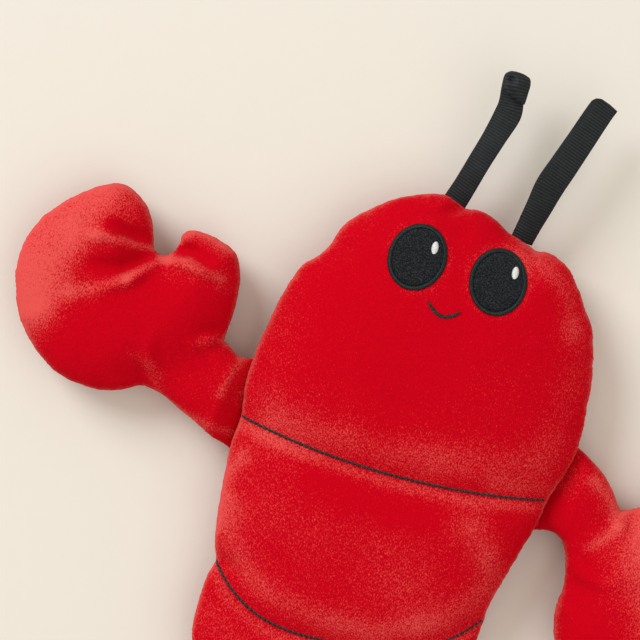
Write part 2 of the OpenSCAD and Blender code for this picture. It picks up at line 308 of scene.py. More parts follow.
def body_heights(p):
    """The front's and the back's heights over points of the body's plan."""
    seam = table(SEAM_HEIGHT, p[:, 1])
    d, along = from_curve(p, body_seam)
    full = plump(d, table(BODY_REACH, p[:, 1]))
    rise = table(BODY_RISE, p[:, 1])
    for k, depth in enumerate(VALLEY_DEPTHS):
        dy = p[:, 1] - line_y(k, p[:, 0])
        width = np.where(dy > 0, VALLEY_UP, VALLEY_DOWN)
        rise = rise - depth * np.exp(-((np.abs(dy) / width) ** 1.2))
    puckers = 1.3 * np.exp(-d / 8) * ripple(along, 11, 1) * np.clip(d / 2, 0, 1)
    front = seam + full * rise + puckers
    for fold in BODY_FOLDS:
        front = front + fold.lift(p) * np.clip(d / 3, 0, 1)
    back = seam * (1 - plump(d, 0.7 * table(BODY_REACH, p[:, 1]))) - puckers * 0.5
    return front, np.maximum(back, 0)


# Creases that the antennae pull into the top of the head, and slack places in the body
BODY_FOLDS = [
    Fold([(-3, 83), (-12, 77), (-22, 71), (-30, 69)], 2.6, -4.0, 0.5),
    Fold([(0, 82), (-8, 74), (-18, 66)], 5.0, 1.6, 0.5),
    Fold([(14, 81), (21, 75), (26, 69)], 3.5, -3.5, 0.5),
    Fold([(36, 76), (45, 71), (57, 69)], 2.6, -2.8, 0.5),
    Fold([(-76, 39), (-66, 36), (-56, 35)], 4.5, -2.0, 0.5),
    Fold([(0, 62), (0, 45), (0, 30)], 9.0, -1.4, 0.5),
    Fold([(-81, -156), (-70, -160), (-60, -166)], 3.5, -2.5, 0.5),
    Fold([(84, -140), (72, -146), (62, -150)], 4.0, -2.2, 0.5),
    Fold([(-37, -292), (-30, -275), (-20, -258)], 4.5, -5.0, 0.6),
    Fold([(37, -292), (30, -275), (20, -258)], 4.5, -5.0, 0.6),
    Fold([(-60, -292), (-58, -276), (-50, -260)], 3.5, -2.5, 0.6),
    Fold([(60, -292), (58, -276), (50, -260)], 3.5, -2.5, 0.6),
]


class Limb:
    """An arm and its claw: one outline from the body to the claw, with a sewn wrist line across it."""

    def __init__(self, name, spec, folds):
        self.name = name
        self.spec = spec
        self.folds = folds
        self.wrist = from_claw([(WRIST_HALF, 0), (-WRIST_HALF, 0)], spec)
        claw = from_claw([(WRIST_HALF, 0), *CLAW_SEAM, (-WRIST_HALF, 0)], spec)
        self.claw_seam = through(claw)
        self.inner = through([*spec["inner"], self.wrist[0]])
        self.outer = through([*spec["outer"], self.wrist[1]])
        self.seam = np.vstack([self.inner, self.claw_seam, self.outer[::-1]])
        self.root = np.array([spec["outer"][0], spec["inner"][0]], float)

    def heights(self, p):
        """The front's and the back's heights over points of the body's plan."""
        d, along = from_curve(p, self.seam)
        q = to_claw(p, self.spec)
        claw = np.clip((q[:, 1] + 12) / 40, 0, 1)
        claw = claw * claw * (3 - 2 * claw)
        rise = ARM_RISE + (CLAW_RISE - ARM_RISE) * claw
        reach = ARM_REACH + (CLAW_REACH - ARM_REACH) * claw
        gather = np.exp(-((q[:, 1] / 11) ** 2))
        rise = rise - 1.8 * np.exp(-((q[:, 1] / 12) ** 2))
        rise = rise + 0.8 * gather * np.sin(q[:, 0] * 2 * math.pi / 9.5 + 1.5 * np.sin(q[:, 0] / 9))
        root = np.clip(np.abs(p[:, 0]) - 90, 0, 16) / 16
        rise = rise * (0.45 + 0.55 * root)
        seam = LIMB_SEAM_HEIGHT - 7 * (1 - root)
        front = seam + plump(d, reach) * rise
        for fold in self.folds:
            front = front + fold.lift(q) * np.clip(d / 4, 0, 1)
        puckers = 1.0 * np.exp(-d / 7) * ripple(along, 10, 3) * np.clip(d / 2, 0, 1)
        low = 0.6 + 3.0 * (1 - root)
        back = seam - (seam - low) * plump(d, 0.8 * reach)
        return front + puckers, np.maximum(back, 0)


def inside(points, loop):
    """Which points lie inside a closed loop."""
    x, y = points[:, 0, None], points[:, 1, None]
    a, b = loop, np.roll(loop, -1, 0)
    crosses = (a[:, 1] > y) != (b[:, 1] > y)
    at = a[:, 0] + (y - a[:, 1]) * (b[:, 0] - a[:, 0]) / np.where(b[:, 1] == a[:, 1], 1e-9, b[:, 1] - a[:, 1])
    return (crosses & (x < at)).sum(1) % 2 == 1


def triangulated(loop, spacing):
    """A loop's points, points spread over its inside, and the anticlockwise triangles between them."""
    low, high = loop.min(0), loop.max(0)
    row = spacing * math.sqrt(3) / 2
    grid = []
    for j, y in enumerate(np.arange(low[1], high[1], row)):
        for x in np.arange(low[0], high[0], spacing):
            grid.append((x + (j % 2) * spacing / 2, y))
    grid = np.array(grid)
    grid = grid[inside(grid, loop)]
    closed = np.vstack([loop, loop[:1]])
    grid = grid[from_curve(grid, closed)[0] > 0.62 * spacing]
    points = [Vector(p) for p in np.vstack([loop, grid])]
    verts, _, faces, origin, _, _ = delaunay_2d_cdt(points, [], [list(range(len(loop)))], 1, 1e-6)
    order = [o[0] if o else -1 for o in origin]
    place = np.array([verts[i][:] for i in range(len(verts))])
    triangles = []
    for a, b, c in faces:
        u, v = place[b] - place[a], place[c] - place[a]
        turn = u[0] * v[1] - u[1] * v[0]
        triangles.append((a, b, c) if turn > 0 else (a, c, b))
    return place, order, triangles


def sew(edges, heights):
    """A closed stuffed mesh. Its edges run anticlockwise.

    Each edge is a curve, and whether it cuts across the stuffing.
    Front and back share their points along a seam, and a wall joins them along a cut.
    Returns the points, the faces, and the pairs of points along the front and back of each cut.
    """
    loop, cut = [], []
    for curve, is_cut in edges:
        points = even(np.asarray(curve, float), SPACING)
        loop.append(points[:-1])
        cut += [False] + [is_cut] * (len(points) - 2)
    loop = np.vstack(loop)
    place, order, triangles = triangulated(loop, SPACING)
    front, back = heights(place)
    where = {o: i for i, o in enumerate(order) if 0 <= o < len(loop)}
    seam = {where[o] for o in where if not cut[o]}
    seam_z = (front + back) / 2
    points = [(x, y, seam_z[i] if i in seam else front[i]) for i, (x, y) in enumerate(place)]
    below = {}
    for i, (x, y) in enumerate(place):
        if i in seam:
            below[i] = i
        else:
            below[i] = len(points)
            points.append((x, y, back[i]))
    faces = list(triangles) + [(below[a], below[c], below[b]) for a, b, c in triangles]
    creases = []
    for o in range(len(loop)):
        a, b = where[o], where[(o + 1) % len(loop)]
        if below[a] == a and below[b] == b:
            continue
        wall = [below[a], below[b], b, a]
        faces.append(tuple(dict.fromkeys(wall)))
        creases += [(a, b), (below[a], below[b])]
    return np.array(points), faces, creases


def new_object(name, points, faces, material):
    """A smoothly shaded mesh object from points in millimetres."""
    mesh = bpy.data.meshes.new(name)
    mesh.from_pydata((np.asarray(points) * MM).tolist(), [], faces)
    mesh.polygons.foreach_set("use_smooth", [True] * len(mesh.polygons))
    mesh.update()
    obj = bpy.data.objects.new(name, mesh)
    bpy.context.scene.collection.objects.link(obj)
    mesh.materials.append(material)
    return obj


def crease_edges(obj, pairs):
    """Keeps the edges between these pairs of points sharp, also when the mesh is subdivided."""
    wanted = {tuple(sorted(p)) for p in pairs}
    values = [tuple(sorted(e.vertices)) in wanted for e in obj.data.edges]
    crease = obj.data.attributes.new("crease_edge", "FLOAT", "EDGE")
    crease.data.foreach_set("value", np.array(values, float))
    sharp = obj.data.attributes.new("sharp_edge", "BOOLEAN", "EDGE")
    sharp.data.foreach_set("value", values)


def apply_modifiers(obj):
    """Replaces an object's mesh with what its modifiers make of it."""
    bpy.context.view_layer.update()
    mesh = bpy.data.meshes.new_from_object(obj.evaluated_get(bpy.context.evaluated_depsgraph_get()))
    obj.modifiers.clear()
    old = obj.data
    obj.data = mesh
    bpy.data.meshes.remove(old)


def subdivide(obj, levels):
    """Rounds a mesh by subdividing it."""
    modifier = obj.modifiers.new("smooth", "SUBSURF")
    modifier.levels = levels
    modifier.render_levels = levels
    apply_modifiers(obj)


def vertex_array(mesh, what="vertices", key="co"):
    """A mesh's vertices or their normals, one row each."""
    values = np.empty(len(mesh.vertices) * 3)
    getattr(mesh, what).foreach_get(key, values)
    return values.reshape(-1, 3)


def nearest(plan, curves):
    """The distance to the nearest of some open curves."""
    return np.min([from_curve(plan, np.asarray(curve, float))[0] for curve in curves], axis=0)


def finish_pile(obj, seams, cuts):
    """Draws the side seams in to a groove and makes the pile slightly uneven, away from the cuts."""
    points = vertex_array(obj.data) / MM
    normals = vertex_array(obj.data, "vertex_normals", "vector")
    plan = points[:, :2]
    held = np.clip(nearest(plan, cuts) / 4, 0, 1)[:, None]
    sideways = 1 - np.abs(normals[:, 2])
    groove = 0.8 * np.exp(-((nearest(plan, seams) / 1.6) ** 2)) * np.clip(sideways * 2 - 0.6, 0, 1)
    tufts = np.array([noise.noise(Vector(p) / 2.6) + 0.6 * noise.noise(Vector(p) / 9) for p in points])
    moved = points + held * normals * (0.2 * tufts - groove)[:, None]
    moved[:, 2] = np.maximum(moved[:, 2], 0.0)
    obj.data.vertices.foreach_set("co", (moved * MM).ravel())
    obj.data.update()


def stuffed(name, edges, heights, material):
    """A finished skin, sewn, rounded and with its pile."""
    points, faces, creases = sew(edges, heights)
    obj = new_object(name, points, faces, material)
    crease_edges(obj, creases)
    subdivide(obj, 1)
    finish_pile(obj, [c for c, is_cut in edges if not is_cut], [c for c, is_cut in edges if is_cut])
    return obj


# ---- Materials ----


class Look:
    """A material's nodes. A socket is set to a number, a colour or another node's output."""

    def __init__(self, name, roughness, gloss=0.5):
        self.material = bpy.data.materials.new(name)
        self.material.use_nodes = True
        self.tree = self.material.node_tree
        self.shader = self.tree.nodes["Principled BSDF"]
        self.shader.inputs["Roughness"].default_value = roughness
        self.shader.inputs["Specular IOR Level"].default_value = gloss
        self.place = self.add("TexCoord", {}).outputs["Object"]

    def put(self, socket, value):
        """Sets a socket to a value, or links another socket to it."""
        if isinstance(value, bpy.types.NodeSocket):
            self.tree.links.new(value, socket)
        else:
            socket.default_value = value

    def add(self, kind, inputs, **settings):
        """Adds a node with its settings and inputs."""
        node = self.tree.nodes.new("ShaderNode" + kind)
        for key, value in settings.items():
            setattr(node, key, value)
        for socket, value in inputs.items():
            self.put(node.inputs[socket], value)
        return node

    def noise(self, scale, detail=2.0, stretch=(1, 1, 1)):
        """Smooth noise between 0 and 1, with so many waves to the metre."""
        place = self.add("Mapping", {"Vector": self.place, "Scale": stretch}).outputs[0]
        return self.add("TexNoise", {"Vector": place, "Scale": scale, "Detail": detail}).outputs["Fac"]

    def sum(self, *terms):
        """The sum of (weight, value) terms."""
        total = 0.0
        for weight, value in terms:
            total = self.add("Math", {0: value, 1: weight, 2: total}, operation="MULTIPLY_ADD").outputs[0]
        return total

    def step(self, value, low, high):
        """Rises smoothly from 0 at low to 1 at high."""
        inputs = {"Value": value, "From Min": low, "From Max": high}
        return self.add("MapRange", inputs, interpolation_type="SMOOTHSTEP").outputs["Result"]

    def put_colour(self, socket, value):
        """Sets a colour socket to a colour, or links another socket to it."""
        self.put(socket, value if isinstance(value, bpy.types.NodeSocket) else (*value, 1))

    def mix(self, factor, a, b):
        """Colour a where the factor is 0 and colour b where it is 1."""
        node = self.add("Mix", {0: factor}, data_type="RGBA")
        self.put_colour(node.inputs[6], a)
        self.put_colour(node.inputs[7], b)
        return node.outputs[2]

    def colour(self, value):
        """The surface's own colour."""
        self.put_colour(self.shader.inputs["Base Color"], value)

    def bump(self, height, distance, strength):
        """Relief: a height between 0 and 1, times a distance in metres."""
        inputs = {"Height": height, "Distance": distance, "Strength": strength}
        self.put(self.shader.inputs["Normal"], self.add("Bump", inputs).outputs["Normal"])

    def sheen(self, weight, roughness, tint):
        """The soft glow of short fibres at grazing angles."""
        self.shader.inputs["Sheen Weight"].default_value = weight
        self.shader.inputs["Sheen Roughness"].default_value = roughness
        self.shader.inputs["Sheen Tint"].default_value = (*tint, 1)


# The key light's direction in plan: the plush is painted paler on slopes that face it, as painted light
TOWARDS_KEY_LIGHT = (-0.93, 0.30, 0.0)


def plush_material():
    """Deep red pile, painted paler on slopes towards the key light (painted light) and on steep sides
    (painted sheen), and held deep red on undersides (painted shade). The stored pile value also makes it
    paler or deeper red, partly as the pile's own patches and partly as painted highlights and shade.
    """
    look = Look("plush", 1.0, 0.02)
    normal = look.add("NewGeometry", {}).outputs["Normal"]
    # lean is how far a slope faces the key light: painted light
    lean = look.add("VectorMath", {0: normal, 1: TOWARDS_KEY_LIGHT}, operation="DOT_PRODUCT").outputs["Value"]
    upward = look.add("SeparateXYZ", {0: normal}).outputs["Z"]
    nap_and_painted_light = look.add("Attribute", {}, attribute_name="nap_and_painted_light").outputs["Fac"]
    # steep paints steep sides paler as a painted sheen; under keeps undersides deep red as painted shade
    steep = look.step(upward, 0.75, 0.10)
    under = look.step(upward, 0.05, -0.30)
    fibres = look.noise(1700, 2.0, (1.0, 0.5, 1.0))
    tufts = look.noise(420)
    patches = look.noise(20, 2.0)
    painted_light = ((0.30, lean), (1.2, steep), (-1.2, under))
    # The pile's own terms; the stored value among them also carries painted highlights and shade
    pile = ((1.0, nap_and_painted_light), (3.8, fibres), (0.15, tufts), (1.0, patches))
    pale_pile_and_light = look.sum(*painted_light, *pile)
    pale = look.step(pale_pile_and_light, 2.75, 4.15)
    depth = look.mix(look.step(fibres, 0.25, 0.75), (0.416, 0.0004, 0.008), (0.512, 0.0008, 0.008))
    look.colour(look.mix(pale, depth, (0.624, 0.072, 0.068)))
    look.bump(look.sum((0.7, fibres), (0.3, tufts)), 0.0006, 0.45)
    look.sheen(0.04, 0.4, (1.0, 0.35, 0.3))
    return look.material


def felt_material():
    """Black felt with slightly paler fibres."""
    look = Look("felt", 0.95, 0.08)
    fibres = look.noise(1300, 2.0)
    look.colour(look.mix(look.step(fibres, 0.40, 0.72), (0.004, 0.005, 0.0065), (0.029, 0.030, 0.034)))
    look.bump(fibres, 0.0006, 0.7)
    look.sheen(0.12, 0.5, (0.6, 0.7, 0.8))
    return look.material


def thread_material(name, dark, light):
    """Embroidery thread: fine filaments with a soft gloss, mixed from a dark and a light colour. On the white
    thread the light colour is paler filaments; on the black threads it is a teal painted glint.
    """
    look = Look(name, 0.4, 0.25)
    filaments = look.noise(1400, 2.0)
    look.colour(look.mix(look.step(filaments, 0.35, 0.7), dark, light))
    look.bump(filaments, 0.0003, 0.4)
    return look.material


def ribbon_material():
    """Black grosgrain, paler where it is worn, and paler on its rib crests as a painted highlight that grows
    along the ribbon.
    """
    look = Look("ribbon", 0.6, 0.18)
    yarns = look.noise(1800, 2.0, (1.0, 0.3, 1.0))
    wear = look.noise(120, 2.0)
    # rib: a painted highlight on the rib crests, stored by ribbon()
    rib = look.add("Attribute", {}, attribute_name="rib").outputs["Fac"]
    shade = look.step(look.sum((0.7, yarns), (0.3, wear), (0.5, rib)), 0.45, 1.1)
    look.colour(look.mix(shade, (0.005, 0.006, 0.008), (0.022, 0.026, 0.029)))
    look.bump(yarns, 0.0003, 0.5)
    look.sheen(0.08, 0.4, (0.7, 0.8, 0.9))
    return look.material


def floor_material():
    """A matt cream surface with a faint unevenness."""
    look = Look("floor", 0.75)
    look.colour((0.674, 0.649, 0.606))
    look.bump(look.noise(55, 4.0), 0.002, 0.12)
    return look.material


plush = plush_material()
felt = felt_material()
# The teal light colours of the black and the border threads are painted glints
black_thread = thread_material("black_thread", (0.001, 0.002, 0.003), (0.0065, 0.055, 0.052))
border_thread = thread_material("border_thread", (0.001, 0.002, 0.003), (0.004, 0.024, 0.023))
white_thread = thread_material("white_thread", (0.59, 0.61, 0.62), (0.75, 0.76, 0.77))
grosgrain = ribbon_material()

# ---- The body ----

def segment_edges(k):
    """The outline of the segment between line k and line k + 1."""
    return [
        (side_seam(k, False), False),
        (line_curve(k + 1), True),
        (side_seam(k, True), False),
        (line_curve(k)[::-1], True),
    ]


segments = {
    "carapace": [(head_seam, False), (line_curve(0), True)],
    "abdomen_1": segment_edges(0),
    "abdomen_2": segment_edges(1),
    "tail_fan": [(fan_seam, False), (line_curve(2)[::-1], True)],
}
skins = {}
for segment, edges in segments.items():
    skins[segment] = stuffed(segment + "_plush", edges, body_heights, plush)

# ---- Arms and claws ----

# The lip of the claw, the hollows and ridges that run into its notch, and the gathers at its wrist
CLAW_FOLDS = [
    Fold([(21, 60), (14, 59.5), (5, 58), (-4, 57.3), (-13.4, 59.4), (-25, 61)], 3.6, 5.5, 0.5),
    Fold([(21, 60), (25, 54), (31, 47.9), (36, 40.8), (44, 32)], 3.6, 5.2, 0.5),
    Fold([(18, 64), (7, 64), (-5, 67), (-16, 74), (-24, 82)], 5.2, -7.5, 0.6),
    Fold([(22.5, 60), (30, 58), (36, 54), (39.5, 47), (44, 39)], 4.2, -7.0, 0.5),
    Fold([(18, 65), (9.3, 71.5), (3.1, 79.5), (-3.5, 87), (-17, 93)], 3.4, 5.5, 0.6),
    Fold([(20, 68), (12, 76.5), (6.5, 86), (1, 93)], 4.6, -6.0, 0.5),
    Fold([(-18, -4), (-17, 8), (-12, 18), (-2, 26)], 3.6, 2.8, 0.5),
    Fold([(-24, -2), (-23, 7), (-19, 16)], 3.2, -2.4, 0.5),
    Fold([(-42, 13), (-35, 5), (-26, 1)], 2.8, 2.4, 0.5),
    Fold([(32, -4), (24, 3), (15, 5), (6, 10)], 3.4, 2.8, 0.5),
    Fold([(34, 3), (25, 9), (14, 12)], 3.2, -2.4, 0.5),
]
limbs = {}
for name, spec in LIMBS.items():
    limb = Limb(name, spec, CLAW_FOLDS)
    wrist = limb.wrist
    arm_edges = [(limb.inner, False), (wrist, True), (limb.outer[::-1], False), (limb.root, True)]
    claw_edges = [(limb.claw_seam, False), (wrist[::-1], True)]
    if spec["mirror"]:
        arm_edges = [(curve[::-1], is_cut) for curve, is_cut in reversed(arm_edges)]
        claw_edges = [(curve[::-1], is_cut) for curve, is_cut in reversed(claw_edges)]
    limbs[name] = limb
    skins["arm_" + name] = stuffed(f"arm_{name}_plush", arm_edges, limb.heights, plush)
    skins["claw_" + name] = stuffed(f"claw_{name}_plush", claw_edges, limb.heights, plush)


def eye_ring(eye, grow, count=96):
    """The outline of an eye, grown by a distance, which leans towards the other eye at its top."""
    angle = np.linspace(0, 2 * math.pi, count, endpoint=False)
    lean = math.radians(EYE_LEAN) * np.sign(eye[0])
    x = (EYE_HALF[0] + grow) * np.cos(angle)
    y = (EYE_HALF[1] + grow) * np.sin(angle)
    across = eye[0] + x * math.cos(lean) - y * math.sin(lean)
    up = eye[1] + x * math.sin(lean) + y * math.cos(lean)
    return np.stack([across, up], 1)


def below_line(k, gap):
    """Line k moved towards the tail."""
    return line_curve(k) - [0, gap]


# Where the pile is painted paler, or below 0 deeper red: a curve in plan, how far it reaches and how much.
# Partly the pile's own raised and flattened patches, partly painted light: painted highlights on the rims
# below the sewn lines and on slopes towards the key light.
PILE_AND_LIGHT_MARKS = [
    (eye_ring(EYES[0], 1.2), 2.6, 0.45),
    (eye_ring(EYES[1], 1.2), 3.2, 0.55),
    (below_line(0, 4), 4.0, 0.60),
    (below_line(1, 4), 4.5, 0.60),
    (below_line(2, 4), 5.0, 0.60),
    (through([(34, 68), (46, 62), (62, 52), (74, 32)]), 8.0, 0.65),
    (through([(70, 30), (80, 4), (80, -26)]), 14.0, 0.40),
    (through([(-74, -70), (-30, -69), (10, -66), (44, -58), (80, -46)]), 13.0, 0.60),
    (through([(60, -66), (76, -64), (92, -60)]), 7.0, 0.50),
    (through([(55, -94), (68, -108), (74, -120), (67, -138), (54, -152)]), 12.0, 0.80),
    (through([(-82, -125), (-72, -148), (-42, -167), (14, -169), (40, -158)]), 9.0, 0.75),
    (through([(-84, -96), (-90, -118), (-86, -140)]), 5.0, 0.80),
    (through([(-64, -122), (-20, -130), (30, -132)]), 22.0, 0.30),
    (through([(-70, -190), (-40, -206), (30, -214), (60, -200)]), 14.0, 0.45),
    (through([(-40, 30), (-50, -8), (0, 0), (20, 30)]), 26.0, -0.45),
    (through([(-40, 66), (-10, 64), (10, 70)]), 12.0, -0.50),
    (through([(-40, -94), (0, -100), (30, -98)]), 7.0, -0.35),
]
# The same on each claw and its sleeve, in the claw's plan: painted highlights along the ridges and on the
# upper edge towards the key light, painted shade along the valleys, and some of the pile's own patches.
LIMB_PILE_AND_LIGHT_MARKS = {
    "left": [
        (through([(-24, 20), (-17, 8), (-20, -6)]), 5.0, 0.70),
        (through([(14, 6), (24, 2), (31, -3)]), 4.5, 0.60),
        (through([(9.5, -26), (20, -19.5), (29, -15)]), 3.4, 0.90),
        (through([(18, -34), (30, -26)]), 5.0, 0.70),
        (through([(-26, -8), (-13, -26), (-6, -37), (4, -48)]), 3.4, 0.85),
        (through([(-68, 76), (-58, 92), (-38, 105), (-14, 110), (10, 110)]), 19.0, 1.12),
        (through([(-54, 72), (-38, 82), (-20, 93)]), 14.0, 0.95),
        (through([(-36, 67), (-19, 61), (-8, 59)]), 6.0, 0.90),
        (through([(-4, 57.5), (14, 59), (21, 58)]), 3.4, 1.10),
        (through([(22, 58), (31, 47.5), (43, 33)]), 3.8, 1.00),
        (through([(17.5, 48), (27, 41), (41, 26)]), 6.0, 0.45),
        (through([(33, 65), (41, 64), (48.5, 58), (54, 47)]), 5.0, 0.95),
        (through([(15, 67), (3.5, 79), (-8, 89)]), 3.4, 0.95),
        (through([(14, 63.5), (-5, 66.5), (-14, 72)]), 4.5, -0.90),
        (through([(12, 76), (3, 90)]), 4.2, -0.90),
        (through([(27, 58), (36, 54), (42, 42)]), 3.6, -0.90),
        (through([(-50, 38), (-10, 36), (24, 30)]), 18.0, -0.70),
    ],
    "right": [
        (through([(30.5, -24), (28, -11), (24, -3)]), 5.5, 0.95),
        (through([(-3, -3), (7, 0.4), (18, 3)]), 3.6, 0.80),
        (through([(36, 16), (26, 20), (8, 34), (-12, 54)]), 17.0, 1.15),
        (through([(-40, 74), (-20, 98), (10, 104)]), 18.0, 0.70),
        (through([(-18, -2), (-34, 14), (-46, 30), (-62, 56)]), 12.0, -0.70),
        (through([(4, -34), (-2, -20)]), 9.0, -0.70),
    ],
}


def lay_nap_and_painted_light(obj, pile_and_light_marks):
    """Stores at each point of a skin how much paler or deeper red its pile is painted: partly the pile's own
    patches, partly painted highlights and shade.
    """
    plan = vertex_array(obj.data)[:, :2] / MM
    nap_and_painted_light = np.zeros(len(plan))
    for curve, reach, amount in pile_and_light_marks:
        nap_and_painted_light += amount * np.exp(-((from_curve(plan, curve)[0] / reach) ** 2))
    obj.data.attributes.new("nap_and_painted_light", "FLOAT", "POINT").data.foreach_set("value", nap_and_painted_light)


for piece, obj in skins.items():
    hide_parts(piece + "_front_panel", piece + "_back_panel", piece + "_filling")

for segment in segments:
    lay_nap_and_painted_light(skins[segment], PILE_AND_LIGHT_MARKS)
for name, limb in limbs.items():
    pile_and_light_marks = [(from_claw(curve, limb.spec), reach, amount) for curve, reach, amount in LIMB_PILE_AND_LIGHT_MARKS[name]]
    lay_nap_and_painted_light(skins["arm_" + name], pile_and_light_marks)
    lay_nap_and_painted_light(skins["claw_" + name], pile_and_light_marks)

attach(skins["carapace"], "carapace")
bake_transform(skins["abdomen_1"])
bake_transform(skins["abdomen_2"])
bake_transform(skins["tail_fan"])
for name, limb in limbs.items():
    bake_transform(skins["arm_" + name])
    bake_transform(skins["claw_" + name])

# ---- Stitching ----


class Ground:
    """Finds the place on the top of a finished skin under a point of the plan."""

    def __init__(self, *objects):
        points, faces = [], []
        for obj in objects:
            start = len(points)
            points += [v.co.copy() for v in obj.data.vertices]
            faces += [tuple(start + i for i in p.vertices) for p in obj.data.polygons]
        self.tree = BVHTree.FromPolygons(points, faces)

    def z(self, x, y):
        """The height of the cloth in millimetres."""
        hit = self.tree.ray_cast(Vector((x * MM, y * MM, 1)), Vector((0, 0, -1)))[0]
        if hit is None:
            hit = self.tree.find_nearest(Vector((x * MM, y * MM, 0.03)))[0]
        return hit.z / MM


def stitch_rows(ground, ends, radius, arch, sink):
    """The mesh of many short stitches, each arched over the cloth between two points of the plan."""
    rings, sides = 5, 6
    points, faces = [], []
    t = np.linspace(0, 1, rings)
    swell = np.sqrt(np.clip(1 - (2 * t - 1) ** 2 * 0.82, 0, 1))
    turn = np.linspace(0, 2 * math.pi, sides, endpoint=False)
    for a, b in ends:
        a, b = np.asarray(a, float), np.asarray(b, float)
        along = (b - a) / np.linalg.norm(b - a)
        across = np.array([along[1], -along[0]])
        first = len(points)
        for step, fat in zip(t, swell):
            p = a + (b - a) * step
            z = ground.z(*p) - sink + arch * math.sin(math.pi * step)
            for angle in turn:
                off = across * radius * fat * math.cos(angle)
                points.append((p[0] + off[0], p[1] + off[1], z + radius * fat * math.sin(angle)))
        for r in range(rings - 1):
            for k in range(sides):
                i, j = first + r * sides + k, first + r * sides + (k + 1) % sides
                faces.append((i, j, j + sides, i + sides))
        faces.append(tuple(first + k for k in reversed(range(sides))))
        faces.append(tuple(first + (rings - 1) * sides + k for k in range(sides)))
    return points, faces


def stitching(node, stitches, material, body):
    """One piece of embroidery, in place of its CAD node."""
    points, faces = stitches
    obj = new_object(node.removesuffix("_stitching") + "_thread", points, faces, material)
    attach(obj, body)
    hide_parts(node)


def topstitch(k, above, below):
    """The row of long slanted stitches that closes a segment, just above line k."""
    curve = line_curve(k) + [0, 1.0]
    along = lengths(curve)
    count = int(along[-1] * 0.985 / STITCH_PITCH)
    starts = along[-1] * 0.0075 + np.arange(count) * STITCH_PITCH
    ends = []
    for i, s in enumerate(starts):
        a = np.array([np.interp(s, along, curve[:, axis]) for axis in (0, 1)])
        b = np.array([np.interp(s + STITCH_PITCH * 1.12, along, curve[:, axis]) for axis in (0, 1)])
        slant = np.array([0, 0.42]) + 0.12 * np.array(noise.noise_vector(Vector((i * 1.7, k, 0)))[:2])
        ends.append((a + slant, b - slant))
    stitches = stitch_rows(Ground(skins[above], skins[below]), ends, STITCH_RADIUS, 0.55, 0.35)
    stitching(f"topstitch_{k + 1}", stitches, black_thread, above)


topstitch(0, "carapace", "abdomen_1")
topstitch(1, "abdomen_1", "abdomen_2")
topstitch(2, "abdomen_2", "tail_fan")

# ---- The face ----

head_ground = Ground(skins["carapace"])


def felt_patch(name, eye):
    """A disc of felt laid on the head, slightly crowned, with its edge under the border."""
    cut = 1 - 0.8 * EYE_BORDER / EYE_HALF[0]
    rings, count = 16, 72
    points, faces = [], []
    for z_side in (1, -1):
        start = len(points)
        points.append((*eye, head_ground.z(*eye) + (0.9 if z_side > 0 else -0.6)))
        for ring in range(1, rings + 1):
            outline = eye_ring(eye, 0, count) - eye
            outline = outline * (ring / rings) * cut + eye
            edge = max(0.0, ring / rings - 0.88) / 0.12
            for x, y in outline:
                fuzz = 0.16 * noise.noise(Vector((x, y, 3)) / 0.9)
                lift = 0.9 - 0.7 * edge + fuzz if z_side > 0 else -0.6
                points.append((x, y, head_ground.z(x, y) + lift))
        for k in range(count):
            fan = (start, start + 1 + k, start + 1 + (k + 1) % count)
            faces.append(fan if z_side > 0 else fan[::-1])
            for ring in range(rings - 1):
                i = start + 1 + ring * count + k
                j = start + 1 + ring * count + (k + 1) % count
                quad = (i, i + count, j + count, j)
                faces.append(quad if z_side > 0 else quad[::-1])
    half = len(points) // 2
    rim = 1 + (rings - 1) * count
    for k in range(count):
        i, j = rim + k, rim + (k + 1) % count
        faces.append((i, half + i, half + j, j))
    obj = new_object(name + "_felt", points, faces, felt)
    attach(obj, "carapace")
    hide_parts(name + "_patch")


def eye_border(name, eye):
    """Satin stitches side by side round the felt."""
    count = 264
    outer = eye_ring(eye, 0, count)
    inner = np.roll(eye_ring(eye, -EYE_BORDER, count), -2, axis=0)
    jitter = [0.25 * noise.noise(Vector((i * 0.9, eye[0], 0))) for i in range(count)]
    ends = [(a + (a - b) / EYE_BORDER * j, b) for a, b, j in zip(outer, inner, jitter)]
    stitches = stitch_rows(head_ground, ends, 0.33, 0.75, -0.25)
    stitching(name + "_border", stitches, border_thread, "carapace")


def eye_highlight(name, eye):
    """A small ellipse of white satin stitches, each laid across it."""
    centre = np.array(eye) + HIGHLIGHT_AT
    count = 15
    ends = []
    for k in range(count):
        v = (k + 0.5) / count * 2 - 1
        half = HIGHLIGHT_HALF[0] * math.sqrt(1 - v * v) + 0.25
        y = centre[1] + v * HIGHLIGHT_HALF[1]
        x = centre[0] - v * 0.4
        ends.append(((x - half, y - 0.25), (x + half, y + 0.25)))
    stitches = stitch_rows(head_ground, ends, 0.34, 0.55, -1.1)
    stitching(name + "_highlight", stitches, white_thread, "carapace")


def mouth():
    """A curved row of close, slanted stitches that narrows at both corners."""
    ends = []
    for v in np.linspace(-1, 1, 46):
        middle = np.array([MOUTH_MIDDLE + v * MOUTH_HALF, MOUTH_LEVEL + MOUTH_RISE * v * v])
        along = np.array([MOUTH_HALF, 2 * MOUTH_RISE * v])
        along /= np.linalg.norm(along)
        across = np.array([-along[1], along[0]])
        half = 0.75 * (1 - abs(v) ** 12) + 0.2
        ends.append((middle - across * half - along * 0.5, middle + across * half + along * 0.5))
    stitches = stitch_rows(head_ground, ends, 0.33, 0.45, -0.15)
    stitching("mouth_stitching", stitches, black_thread, "carapace")


for name, eye in zip(("eye_left", "eye_right"), EYES):
    felt_patch(name, eye)
    eye_border(name, eye)
    eye_highlight(name, eye)
mouth()

# ---- The antennae ----


